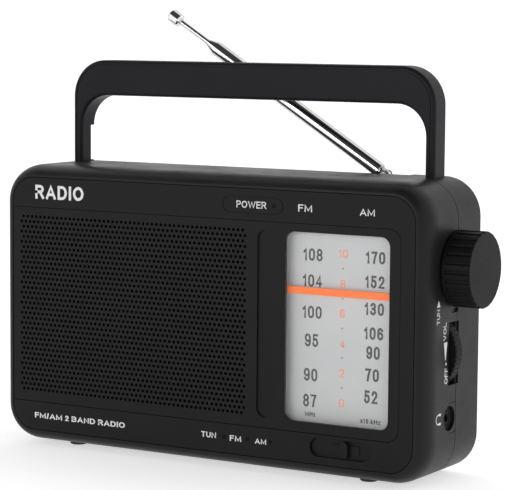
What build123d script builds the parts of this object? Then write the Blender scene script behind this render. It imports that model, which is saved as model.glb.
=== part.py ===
from build123d import *
import math
import os

os.makedirs("parts", exist_ok=True)

# A portable two-band table radio. X runs along the width, Y from front to back, Z up.
# The origin is the centre of the footprint on the surface that the rubber feet stand on.

# Cabinet
cab_w = 232.0
cab_h = 136.0
foot_h = 1.8
cab_zc = foot_h + cab_h / 2
cab_top = foot_h + cab_h
front_y = -28.0
back_y = 28.0
corner_r = 18.0
wall = 2.5
rim_w = 5.7
rim_d = 11.0
seam_y = 3.0
seam_gap = 0.4
lip_gap = 0.15
lip_t = 1.25
face_t = 2.3
baffle_front = -25.6
baffle_back = -23.6
half_w = cab_w / 2
path_x = half_w - rim_w
path_z = cab_h / 2 - rim_w
path_r = corner_r - rim_w

# Faceplate and grille panel
face_gap = 0.35
panel_left = -path_x + face_gap
panel_right = 102.8
panel_bottom = 21.8
panel_top = 117.1
panel_r = 6.0
panel_gap = 0.25
panel_t = 2.0
panel_front = -27.8
hole_pitch = 2.5
hole_r = 0.75
grille_x = -41.2
grille_z = 70.1
strip_x = 33.65
strip_w = 8.7
window_x = 70.7
window_z = 69.95
window_w = 53.6
window_h = 86.9
window_r = 4.5

# Lights and band switch
led_spots = [(38.1, 124.5), (12.2, 15.5), (24.8, 15.5), (37.3, 15.5)]
led_tip_r = 0.85
led_body_r = 1.5
pill_x = 26.55
pill_z = 124.4
recess_x = 73.6
recess_z = 15.8
recess_w = 31.5
recess_h = 9.0
slide_x = 75.9
slide_travel = 4.6

# Dial drive
pointer_z = 86.4
pointer_low = 54.9
pointer_high = 22.0
spool_r = 4.08
drum_r = (pointer_low + pointer_high) / math.pi
drum_x = 52.0
drum_z = 46.0
pulley_r = 5.0
pulley_z = 119.0
rail_x = 34.0
rail_y = -16.0
chassis_front = -21.8
chassis_t = 2.0
chassis_posts = [(27.0, 21.8), (97.0, 21.8), (27.0, 119.6), (97.0, 119.6)]

# Side controls, all on the right wall
shaft_y = 1.4
shaft_z = 98.4
shaft_r = 3.0
knob_r = 17.4
knob_x0 = 117.0
knob_x1 = 130.5
knob_flutes = 26
wheel_x = 99.2
wheel_z = 60.0
wheel_r = 20.0
wheel_front = -3.6
wheel_back = 2.8
jack_y = -3.5
jack_z = 30.6
jack_r = 1.8
jack_mouth = half_w - 1.6
notch_z = 79.5

# Loudspeaker
spk_x = -40.0
spk_z = cab_zc
spk_r = 50.0

# Circuit board
board_front = 9.0
board_t = 1.6
board_posts = [(18.5, 27.5), (18.5, 102.5), (107.0, 85.0)]

# Batteries: four AA cells side by side behind a lift-off door
bat_x0 = -68.0
bat_x1 = -12.0
bat_z0 = 20.0
bat_z1 = 80.0
bat_front = 9.2
bat_wall = 1.2
cell_d = 14.5

# Case screws
case_bosses = [(-104.0, 16.0), (104.0, 16.0), (-104.0, 112.0), (104.0, 112.0)]

# Handle
hdl_x = 100.3
hdl_leg = 4.9
hdl_top = 188.4
hdl_bar = 17.4
hdl_bottom = 117.5
hdl_front = 9.0
hdl_back = 20.9
hdl_out_r = 18.0
hdl_in_r = 15.0
hdl_screw_z = 123.0

# Telescopic antenna
ant_x = 67.6
ant_y = 24.75
ant_z = 137.0
ant_tilt = 31.7
ant_floor = 132.3
ant_channel_y = 21.0
ant_channel_x1 = 82.0
tube_d = [6.8, 6.0, 5.2, 4.4, 3.6]
tube_wall = 0.3
tube_start = 3.5
tube_end = 110.0
tube_step = 1.2
rod_d = 2.5
rod_tip = 141.0
cap_d = 6.2
cap_l = 6.6


def front_plane(y):
    """Plane seen from the front at depth y: local x is X, local y is Z, and it faces -Y."""
    return Plane.XZ.offset(-y)


def side_plane(x):
    """Plane seen from the right at width x: local x is Y, local y is Z, and it faces +X."""
    return Plane.YZ.offset(x)


def save(part, name):
    """Label the finished piece and write it under its node name."""
    part.label = name
    export_step(part, "parts/" + name + ".step")


# ---------------------------------------------------------------- front shell
# The rim is one section carried round the faceplate's outline: an elliptical
# shoulder on the outside, the faceplate's edge on the inside.
with BuildLine(front_plane(front_y)) as rim_path:
    up = Line((path_x, cab_zc), (path_x, cab_zc + path_z - path_r))
    a1 = JernArc(start=up @ 1, tangent=up % 1, radius=path_r, arc_size=90)
    top = Line(a1 @ 1, (-path_x + path_r, cab_zc + path_z))
    a2 = JernArc(start=top @ 1, tangent=top % 1, radius=path_r, arc_size=90)
    down = Line(a2 @ 1, (-path_x, cab_zc - path_z + path_r))
    a3 = JernArc(start=down @ 1, tangent=down % 1, radius=path_r, arc_size=90)
    base = Line(a3 @ 1, (path_x - path_r, cab_zc - path_z))
    a4 = JernArc(start=base @ 1, tangent=base % 1, radius=path_r, arc_size=90)
    rise = Line(a4 @ 1, (path_x, cab_zc))

with BuildPart() as front_shell:
    with BuildSketch(Plane.XY.offset(cab_zc)):
        with BuildLine():
            shoulder = EllipticalCenterArc((path_x, front_y + rim_d), rim_w, rim_d, start_angle=270, arc_size=90)
            Polyline(
                shoulder @ 1,
                (half_w, seam_y - seam_gap / 2),
                (half_w - wall, seam_y - seam_gap / 2),
                (half_w - wall, baffle_back),
                (path_x, baffle_back),
                (path_x, front_y),
            )
        make_face()
    sweep(path=rim_path.wires()[0])
    # baffle that the faceplate and the grille lie on
    with BuildSketch(front_plane(baffle_back)) as baffle:
        with Locations((0, cab_zc)):
            RectangleRounded(2 * path_x + 2, 2 * path_z + 2, path_r + 1)
        with Locations((spk_x, spk_z)):
            Circle(43.0, mode=Mode.SUBTRACT)
        with Locations((63.75, 70.0)):
            Rectangle(71.5, 90.0, mode=Mode.SUBTRACT)
        with Locations((76.0, 15.8)):
            Rectangle(20.0, 7.6, mode=Mode.SUBTRACT)
        with Locations(*led_spots):
            Circle(led_body_r + 0.2, mode=Mode.SUBTRACT)
        with Locations(*chassis_posts):
            Circle(1.2, mode=Mode.SUBTRACT)
    extrude(amount=baffle_back - baffle_front)
    # screw bosses for the rear shell
    boss_end = seam_y - seam_gap
    with BuildSketch(front_plane(boss_end)):
        with Locations(*case_bosses):
            Circle(3.5)
    extrude(amount=boss_end - baffle_back + 0.2)
    with BuildSketch(front_plane(boss_end)):
        with Locations(*case_bosses):
            Circle(1.5)
    extrude(amount=12, mode=Mode.SUBTRACT)
    # posts for the circuit board
    with BuildSketch(front_plane(board_front)):
        with Locations(*board_posts):
            Circle(3.0)
    extrude(amount=board_front - baffle_back + 0.2)
    with BuildSketch(front_plane(board_front)):
        with Locations(*board_posts):
            Circle(1.25)
    extrude(amount=8, mode=Mode.SUBTRACT)
    # rests for the two small lamp boards
    with BuildSketch(front_plane(-19.6)):
        with Locations((18.5, 13.8), (89.5, 13.8)):
            Rectangle(3.0, 6.6)
    extrude(amount=4.2)
    with BuildSketch(front_plane(-21.0)):
        with Locations((43.2, 128.2)):
            Rectangle(4.6, 3.4)
    extrude(amount=2.8)
    # openings in the right wall: tuning shaft, volume wheel, earphone jack
    with BuildSketch(side_plane(half_w - 6)):
        with Locations((shaft_y, shaft_z)):
            Circle(shaft_r + 0.3)
    extrude(amount=8, mode=Mode.SUBTRACT)
    with BuildSketch(side_plane(half_w - 6)):
        with Locations((0, wheel_z)):
            Rectangle(10.0, 28.6)
    extrude(amount=8, mode=Mode.SUBTRACT)
    with BuildSketch(side_plane(jack_mouth)):
        with Locations((jack_y, jack_z)):
            Circle(5.75)
    extrude(amount=4, mode=Mode.SUBTRACT)
    with BuildSketch(side_plane(half_w - 6)):
        with Locations((jack_y, jack_z)):
            Circle(3.7)
    extrude(amount=8, mode=Mode.SUBTRACT)
    # small pry notch on the seam under the knob
    with BuildSketch(side_plane(half_w - 1.0)):
        with Locations((1.0, notch_z)):
            Rectangle(6.0, 2.2)
    extrude(amount=2, mode=Mode.SUBTRACT)
    # fine lines above and below the earphone socket
    with BuildSketch(side_plane(half_w - 0.3)):
        with Locations((-0.3, jack_z + 6.9), (-0.3, jack_z - 6.8)):
            Rectangle(6.6, 0.35)
    extrude(amount=1, mode=Mode.SUBTRACT)
save(front_shell.part, "front_shell")

# ---------------------------------------------------------------- faceplate
face_w = 2 * (path_x - face_gap)
face_h = 2 * (path_z - face_gap)
with BuildPart() as faceplate:
    with BuildSketch(front_plane(front_y + face_t)):
        with Locations((0, cab_zc)):
            RectangleRounded(face_w, face_h, path_r - face_gap)
        # the bay for the grille panel is open to the left edge
        bay_l = -path_x - 20
        bay_r = panel_right + panel_gap
        bay_b = panel_bottom - panel_gap
        bay_t = panel_top + panel_gap
        with Locations(((bay_l + bay_r) / 2, (bay_b + bay_t) / 2)):
            RectangleRounded(bay_r - bay_l, bay_t - bay_b, panel_r, mode=Mode.SUBTRACT)
        with Locations(*led_spots):
            Circle(led_tip_r + 0.1, mode=Mode.SUBTRACT)
        with Locations((slide_x - slide_travel / 2, recess_z)):
            Rectangle(4.0 + slide_travel + 0.6, 3.0, mode=Mode.SUBTRACT)
    extrude(amount=face_t)
    # sunk track of the band switch
    with BuildSketch(front_plane(front_y + 1.5)):
        with Locations((recess_x, recess_z)):
            SlotOverall(recess_w, recess_h)
    extrude(amount=3, mode=Mode.SUBTRACT)
    # fine groove round the power lamp and its word
    with BuildSketch(front_plane(front_y + 0.3)):
        with Locations((pill_x, pill_z)):
            SlotOverall(32.5, 7.8)
            SlotOverall(31.7, 7.0, mode=Mode.SUBTRACT)
    extrude(amount=2, mode=Mode.SUBTRACT)
save(faceplate.part, "faceplate")

# ---------------------------------------------------------------- grille panel
panel_w = panel_right - panel_left
panel_h = panel_top - panel_bottom
panel_back = panel_front + panel_t
with BuildPart() as grille_panel:
    with BuildSketch(front_plane(panel_back)):
        with Locations(((panel_left + panel_right) / 2, (panel_bottom + panel_top) / 2)):
            RectangleRounded(panel_w, panel_h, panel_r)
        # square left corners under the straight left edge of the faceplate
        with Locations((panel_left + panel_r / 2, panel_bottom + panel_h / 2)):
            Rectangle(panel_r, panel_h)
        with Locations((window_x, window_z)):
            RectangleRounded(window_w, window_h, window_r, mode=Mode.SUBTRACT)
        with Locations((grille_x, grille_z)):
            with GridLocations(hole_pitch, 2 * hole_pitch, 51, 18):
                Circle(hole_r, mode=Mode.SUBTRACT)
            with GridLocations(hole_pitch, 2 * hole_pitch, 52, 17):
                Circle(hole_r, mode=Mode.SUBTRACT)
    extrude(amount=panel_t, clean=False)
    # shallow upright strip between the grille and the dial
    with BuildSketch(front_plane(panel_front + 0.8)):
        with Locations((strip_x, window_z)):
            SlotOverall(window_h, strip_w, rotation=90)
    extrude(amount=2, mode=Mode.SUBTRACT, clean=False)
save(grille_panel.part, "grille_panel")

# ---------------------------------------------------------------- dial
with BuildPart() as dial_lens:
    with BuildSketch(front_plane(-25.6)):
        with Locations((window_x, window_z)):
            RectangleRounded(window_w - 0.4, window_h - 0.4, window_r - 0.2)
    extrude(amount=1.9)
    # flange behind the panel
    with BuildSketch(front_plane(-24.9)):
        with Locations((window_x, window_z)):
            RectangleRounded(window_w + 3.4, window_h + 2.6, window_r)
    extrude(amount=0.7)
save(dial_lens.part, "dial_lens")

with BuildPart() as dial_scale:
    with BuildSketch(front_plane(chassis_front)):
        with Locations((71.0, 70.2)):
            Rectangle(58.0, 90.6)
    extrude(amount=0.8)
save(dial_scale.part, "dial_scale")

with BuildPart() as dial_chassis:
    with BuildSketch(front_plane(chassis_front + chassis_t)):
        with Locations((62.0, 71.0)):
            Rectangle(76.0, 104.0)
        # gap that the pointer's arm runs in
        with Locations((34.25, 70.0)):
            Rectangle(13.5, 88.0, mode=Mode.SUBTRACT)
    extrude(amount=chassis_t)
    with BuildSketch(front_plane(chassis_front + 0.2)):
        with Locations(*chassis_posts):
            Circle(2.4)
    extrude(amount=chassis_front + 0.2 - baffle_back)
    # lugs that hold the pointer's rail
    with BuildSketch(Plane.XY.offset(20.5)):
        with Locations((rail_x, -16.5)):
            Rectangle(8.0, 7.0)
    extrude(amount=4)
    with BuildSketch(Plane.XY.offset(115.5)):
        with Locations((rail_x, -16.5)):
            Rectangle(8.0, 7.0)
    extrude(amount=4)
    # pins of the two cord pulleys
    with BuildSketch(front_plane(-6.0)):
        with Locations((drum_x - drum_r + pulley_r, pulley_z), (drum_x + drum_r - pulley_r, pulley_z)):
            Circle(1.5)
    extrude(amount=14)
    # inner bearing of the tuning shaft
    with BuildSketch(side_plane(65.0)):
        with Locations((-6.65, shaft_z)):
            Rectangle(26.7, 12.0)
    extrude(amount=4)
    with BuildSketch(side_plane(64.0)):
        with Locations((shaft_y, shaft_z)):
            Circle(shaft_r + 0.05)
    extrude(amount=6, mode=Mode.SUBTRACT)
    with BuildSketch(Plane.XY.offset(20.0)):
        with Locations((rail_x, rail_y)):
            Circle(1.03)
    extrude(amount=101, mode=Mode.SUBTRACT)
    with BuildSketch(front_plane(chassis_front + chassis_t)):
        with Locations(*chassis_posts):
            Circle(1.2)
    extrude(amount=6, mode=Mode.SUBTRACT)
save(dial_chassis.part, "dial_chassis")

with BuildPart() as chassis_screws:
    with BuildSketch(front_plane(chassis_front + chassis_t + 1.4)):
        with Locations(*chassis_posts):
            Circle(2.3)
    extrude(amount=1.4)
    with BuildSketch(front_plane(chassis_front + chassis_t)):
        with Locations(*chassis_posts):
            Circle(1.18)
    extrude(amount=5.2)
save(chassis_screws.part, "chassis_screws")

with BuildPart() as pointer_rail:
    with BuildSketch(Plane.XY.offset(20.8)):
        with Locations((rail_x, rail_y)):
            Circle(1.0)
    extrude(amount=98)
save(pointer_rail.part, "pointer_rail")

with BuildPart() as dial_pointer:
    # bar across the window, on an arm that reaches left behind the panel
    with BuildSketch(front_plane(-23.5)):
        with Locations((64.25, pointer_z)):
            Rectangle(65.5, 3.2)
    extrude(amount=1.0)
    with BuildSketch(Plane.XY.offset(pointer_z - 1.6)):
        with Locations((rail_x, -19.5)):
            Rectangle(5.0, 9.6)
    extrude(amount=3.2)
    with BuildSketch(Plane.XY.offset(pointer_z - 5)):
        with Locations((rail_x, rail_y)):
            Circle(2.6)
    extrude(amount=10)
    with BuildSketch(Plane.XY.offset(pointer_z - 6)):
        with Locations((rail_x, rail_y)):
            Circle(1.08)
    extrude(amount=12, mode=Mode.SUBTRACT)
save(dial_pointer.part, "dial_pointer")

# ---------------------------------------------------------------- tuning drive
with BuildPart() as tuning_knob:
    with BuildSketch(side_plane(knob_x0)):
        with Locations((shaft_y, shaft_z)):
            Circle(knob_r)
    extrude(amount=knob_x1 - knob_x0)
    fillet(tuning_knob.edges().filter_by(GeomType.CIRCLE).sort_by(Axis.X)[-1], 0.9)
    # grip flutes run from the inner collar through the end face
    with BuildSketch(side_plane(knob_x0 + 1.6)):
        with Locations((shaft_y, shaft_z)):
            with PolarLocations(knob_r + 0.35, knob_flutes):
                Circle(1.05)
    extrude(amount=knob_x1 - knob_x0, mode=Mode.SUBTRACT)
    # hollow underside and shaft socket
    with BuildSketch(side_plane(knob_x0)):
        with Locations((shaft_y, shaft_z)):
            Circle(knob_r - 2.6)
            Circle(5.5, mode=Mode.SUBTRACT)
    extrude(amount=9, mode=Mode.SUBTRACT)
    with BuildSketch(side_plane(knob_x0)):
        with Locations((shaft_y, shaft_z)):
            Circle(shaft_r + 0.02)
    extrude(amount=10.5, mode=Mode.SUBTRACT)
save(tuning_knob.part, "tuning_knob")

with BuildPart() as tuning_shaft:
    with BuildSketch(side_plane(63.5)):
        with Locations((shaft_y, shaft_z)):
            Circle(shaft_r)
    extrude(amount=knob_x0 + 10.3 - 63.5)
    with BuildSketch(side_plane(71.4)):
        with Locations((shaft_y, shaft_z)):
            Circle(spool_r)
    extrude(amount=10)
    # collars that keep the cord on its spool
    with BuildSketch(side_plane(70.4)):
        with Locations((shaft_y, shaft_z)):
            Circle(spool_r + 1.1)
    extrude(amount=1)
    with BuildSketch(side_plane(81.4)):
        with Locations((shaft_y, shaft_z)):
            Circle(spool_r + 1.1)
    extrude(amount=1)
save(tuning_shaft.part, "tuning_shaft")

with BuildPart() as tuning_drum:
    with BuildSketch(front_plane(-6.0)):
        with Locations((drum_x, drum_z)):
            Circle(drum_r)
    extrude(amount=4)
    with BuildSketch(front_plane(-6.0)):
        with Locations((drum_x, drum_z)):
            Circle(drum_r + 0.8)
    extrude(amount=0.9)
    with BuildSketch(front_plane(-9.1)):
        with Locations((drum_x, drum_z)):
            Circle(drum_r + 0.8)
    extrude(amount=0.9)
    # four lightening holes and the hub
    with BuildSketch(front_plane(-5.0)):
        with Locations((drum_x, drum_z)):
            with PolarLocations(14.0, 4, start_angle=45):
                Circle(6.0)
    extrude(amount=6, mode=Mode.SUBTRACT)
    with BuildSketch(front_plane(-4.6)):
        with Locations((drum_x, drum_z)):
            Circle(5.0)
    extrude(amount=5.4)
    with BuildSketch(front_plane(-2.0)):
        with Locations((drum_x, drum_z)):
            Circle(2.9)
    extrude(amount=7.0)
save(tuning_drum.part, "tuning_drum")


def make_pulley(x, name):
    """Small grooved cord pulley on a pin that points to the back."""
    with BuildPart() as pulley:
        with BuildSketch(front_plane(-6.5)):
            with Locations((x, pulley_z)):
                Circle(pulley_r)
        extrude(amount=3)
        with BuildSketch(front_plane(-6.5)):
            with Locations((x, pulley_z)):
                Circle(pulley_r + 1.0)
        extrude(amount=0.8)
        with BuildSketch(front_plane(-8.7)):
            with Locations((x, pulley_z)):
                Circle(pulley_r + 1.0)
        extrude(amount=0.8)
        with BuildSketch(front_plane(-6.0)):
            with Locations((x, pulley_z)):
                Circle(1.56)
        extrude(amount=5, mode=Mode.SUBTRACT)
    save(pulley.part, name)


make_pulley(drum_x - drum_r + pulley_r, "cord_pulley_left")
make_pulley(drum_x + drum_r - pulley_r, "cord_pulley_right")

with BuildPart() as tuning_capacitor:
    with BuildSketch(front_plane(board_front)):
        with Locations((drum_x, drum_z)):
            RectangleRounded(25.0, 25.0, 1.5)
    extrude(amount=board_front + 4.0)
    with BuildSketch(front_plane(-1.5)):
        with Locations((drum_x, drum_z)):
            Circle(2.95)
    extrude(amount=4, mode=Mode.SUBTRACT)
save(tuning_capacitor.part, "tuning_capacitor")

# ---------------------------------------------------------------- volume control
with BuildPart() as volume_wheel:
    with BuildSketch(front_plane(wheel_back)):
        with Locations((wheel_x, wheel_z)):
            Circle(wheel_r)
    extrude(amount=wheel_back - wheel_front)
    chamfer(volume_wheel.edges().filter_by(GeomType.CIRCLE), 0.5)
    with BuildSketch(front_plane(wheel_back)):
        with Locations((wheel_x, wheel_z)):
            with PolarLocations(wheel_r + 0.25, 56):
                Circle(0.62)
    extrude(amount=wheel_back - wheel_front, mode=Mode.SUBTRACT)
    with BuildSketch(front_plane(wheel_front + 0.8)):
        with Locations((wheel_x, wheel_z)):
            Circle(16.0)
            Circle(5.0, mode=Mode.SUBTRACT)
    extrude(amount=2, mode=Mode.SUBTRACT)
    with BuildSketch(front_plane(5.2)):
        with Locations((wheel_x, wheel_z)):
            Circle(2.9)
    extrude(amount=3)
save(volume_wheel.part, "volume_wheel")

with BuildPart() as volume_pot:
    with BuildSketch(front_plane(board_front)):
        with Locations((wheel_x, wheel_z)):
            Circle(8.5)
        with Locations((wheel_x - 8.0, wheel_z)):
            Rectangle(10.0, 12.0)
    extrude(amount=board_front - wheel_back - 0.5)
    with BuildSketch(front_plane(5.6)):
        with Locations((wheel_x, wheel_z)):
            Circle(2.95)
    extrude(amount=4, mode=Mode.SUBTRACT)
save(volume_pot.part, "volume_pot")

# ---------------------------------------------------------------- band switch and lamps
with BuildPart() as band_slider:
    with BuildSketch(front_plane(-26.7)):
        with Locations((slide_x, recess_z)):
            Rectangle(6.8, 7.4)
    extrude(amount=2.0)
    fillet(band_slider.edges().filter_by(Axis.Y), 0.7)
    # three grip ribs
    with BuildSketch(front_plane(-28.7)):
        with Locations((slide_x - 2.1, recess_z), (slide_x, recess_z), (slide_x + 2.1, recess_z)):
            Rectangle(0.9, 6.2)
    extrude(amount=0.5)
    with BuildSketch(front_plane(-23.0)):
        with Locations((slide_x, recess_z)):
            Rectangle(4.0, 2.4)
    extrude(amount=4.0)
save(band_slider.part, "band_slider")

with BuildPart() as band_switch:
    with BuildSketch(front_plane(-19.6)):
        with Locations((slide_x - slide_travel / 2, recess_z - 0.8)):
            Rectangle(18.0, 7.0)
    extrude(amount=3.8)
    with BuildSketch(front_plane(-22.0)):
        with Locations((slide_x - slide_travel / 2, recess_z)):
            Rectangle(4.0 + slide_travel + 0.8, 3.0)
    extrude(amount=3, mode=Mode.SUBTRACT)
save(band_switch.part, "band_switch")

with BuildPart() as switch_board:
    with BuildSketch(front_plane(-18.4)):
        with Locations((50.0, 14.0)):
            Rectangle(84.0, 9.2)
    extrude(amount=1.2)
save(switch_board.part, "switch_board")

with BuildPart() as lamp_board:
    with BuildSketch(front_plane(-19.8)):
        with Locations((38.0, 126.8)):
            Rectangle(16.0, 7.0)
    extrude(amount=1.2)
save(lamp_board.part, "lamp_board")


def make_lamps(spots, board_face, name):
    """Small round lamps: a thin tip in the faceplate's hole and a wider body behind it."""
    with BuildPart() as lamps:
        with BuildSketch(front_plane(board_face)):
            with Locations(*spots):
                Circle(led_body_r)
        extrude(amount=board_face + 25.4)
        with BuildSketch(front_plane(-25.5)):
            with Locations(*spots):
                Circle(led_tip_r)
        extrude(amount=2.3)
    save(lamps.part, name)


make_lamps(led_spots[:1], -21.0, "power_lamp")
make_lamps(led_spots[1:], -19.6, "band_lamps")

# ---------------------------------------------------------------- earphone jack
with BuildPart() as earphone_jack:
    with BuildSketch(side_plane(99.0)):
        with Locations((jack_y, jack_z)):
            Rectangle(9.0, 9.0)
    extrude(amount=14.3)
    with BuildSketch(side_plane(113.0)):
        with Locations((jack_y, jack_z)):
            Circle(3.5)
    extrude(amount=jack_mouth - 113.0)
    # solder foot that stands on the circuit board
    with BuildSketch(side_plane(100.5)):
        with Locations(((jack_y + board_front + 4.0) / 2, jack_z)):
            Rectangle(board_front - 4.0 - jack_y, 6.0)
    extrude(amount=6)
    with BuildSketch(side_plane(jack_mouth)):
        with Locations((jack_y, jack_z)):
            Circle(jack_r)
    extrude(amount=-14.0, mode=Mode.SUBTRACT)
save(earphone_jack.part, "earphone_jack")

# ---------------------------------------------------------------- loudspeaker
spk_axis = Axis((spk_x, 0, spk_z), (0, 1, 0))
with BuildPart() as speaker_frame:
    with BuildSketch(Plane.XY.offset(spk_z)):
        with BuildLine():
            Polyline(
                (spk_x + 44.4, baffle_back),
                (spk_x + spk_r, baffle_back),
                (spk_x + spk_r, baffle_back + 1.4),
                (spk_x + 46.0, baffle_back + 1.4),
                (spk_x + 25.6, -5.6),
                (spk_x + 25.6, -4.0),
                (spk_x + 12.0, -4.0),
                (spk_x + 12.0, -5.2),
                (spk_x + 24.2, -5.2),
                (spk_x + 24.2, -6.4),
                close=True,
            )
        make_face()
    revolve(axis=spk_axis)
    with BuildSketch(front_plane(-4.5)):
        with Locations((spk_x, spk_z)):
            with PolarLocations(34.5, 6):
                Circle(7.0)
    extrude(amount=17, mode=Mode.SUBTRACT)
    with BuildSketch(front_plane(baffle_back + 1.4)):
        with Locations((spk_x, spk_z)):
            with PolarLocations(47.9, 4, start_angle=45):
                Circle(1.3)
    extrude(amount=3, mode=Mode.SUBTRACT)
save(speaker_frame.part, "speaker_frame")

with BuildPart() as speaker_cone:
    with BuildSketch(Plane.XY.offset(spk_z)):
        with BuildLine():
            Polyline(
                (spk_x, -11.4),
                (spk_x + 9.0, -10.4),
                (spk_x + 13.0, -8.2),
                (spk_x + 38.5, -21.6),
                (spk_x + 42.9, -22.6),
                (spk_x + 42.9, -23.2),
                (spk_x + 38.3, -22.4),
                (spk_x + 13.0, -9.2),
                (spk_x + 9.0, -11.4),
                (spk_x, -12.4),
                close=True,
            )
        make_face()
    revolve(axis=spk_axis)
save(speaker_cone.part, "speaker_cone")

with BuildPart() as speaker_magnet:
    with BuildSketch(Plane.XY.offset(spk_z)):
        with BuildLine():
            Polyline(
                (spk_x, -4.0),
                (spk_x + 22.0, -4.0),
                (spk_x + 22.0, -2.6),
                (spk_x + 26.5, -2.6),
                (spk_x + 26.5, 4.4),
                (spk_x + 22.0, 4.4),
                (spk_x + 22.0, 6.0),
                (spk_x, 6.0),
                close=True,
            )
        make_face()
    revolve(axis=spk_axis)
save(speaker_magnet.part, "speaker_magnet")

with BuildPart() as speaker_screws:
    with BuildSketch(front_plane(baffle_back + 2.8)):
        with Locations((spk_x, spk_z)):
            with PolarLocations(47.9, 4, start_angle=45):
                Circle(1.9)
    extrude(amount=1.4)
    with BuildSketch(front_plane(baffle_back + 1.4)):
        with Locations((spk_x, spk_z)):
            with PolarLocations(47.9, 4, start_angle=45):
                Circle(1.25)
    extrude(amount=1.4)
save(speaker_screws.part, "speaker_screws")

# ---------------------------------------------------------------- circuit board
with BuildPart() as main_board:
    with BuildSketch(front_plane(board_front + board_t)):
        with Locations((62.5, 65.0)):
            Rectangle(97.0, 82.0)
        with Locations(*board_posts):
            Circle(1.4, mode=Mode.SUBTRACT)
    extrude(amount=board_t)
save(main_board.part, "main_board")

with BuildPart() as board_screws:
    with BuildSketch(front_plane(board_front + board_t + 1.6)):
        with Locations(*board_posts):
            Circle(2.6)
    extrude(amount=1.6)
    with BuildSketch(front_plane(board_front + board_t)):
        with Locations(*board_posts):
            Circle(1.23)
    extrude(amount=8.5)
save(board_screws.part, "board_screws")

# shielded coils in a row, electrolytic capacitors and two chips
with BuildPart() as board_cans:
    with BuildSketch(front_plane(board_front)):
        with Locations((30.0, 82.0), (42.0, 82.0), (54.0, 82.0), (30.0, 94.0)):
            RectangleRounded(7.2, 7.2, 0.6)
    extrude(amount=11)
save(board_cans.part, "board_cans")

with BuildPart() as board_capacitors:
    with BuildSketch(front_plane(board_front)):
        with Locations((24.5, 64.0), (24.5, 52.0), (70.0, 30.5), (82.0, 33.0)):
            Circle(4.0)
    extrude(amount=11)
save(board_capacitors.part, "board_capacitors")

with BuildPart() as board_chips:
    with BuildSketch(front_plane(board_front)):
        with Locations((72.0, 80.0), (45.0, 98.0)):
            Rectangle(8.0, 20.0)
    extrude(amount=3.2)
save(board_chips.part, "board_chips")

# ---------------------------------------------------------------- ferrite antenna
rod_y = 10.0
rod_z = 126.0
with BuildPart() as ferrite_rod:
    with BuildSketch(side_plane(-70.0)):
        with Locations((rod_y, rod_z)):
            Circle(5.0)
    extrude(amount=120)
save(ferrite_rod.part, "ferrite_rod")

with BuildPart() as ferrite_coil:
    with BuildSketch(side_plane(-30.0)):
        with Locations((rod_y, rod_z)):
            Circle(6.6)
            Circle(5.2, mode=Mode.SUBTRACT)
    extrude(amount=32)
save(ferrite_coil.part, "ferrite_coil")

with BuildPart() as ferrite_clips:
    for clip_x in (-60.0, 34.0):
        with BuildSketch(side_plane(clip_x)):
            with Locations((18.0, rod_z)):
                Rectangle(15.0, 6.0)
            with Locations((rod_y, rod_z)):
                Circle(6.8)
                Circle(5.1, mode=Mode.SUBTRACT)
        extrude(amount=5)
save(ferrite_clips.part, "ferrite_clips")

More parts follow.
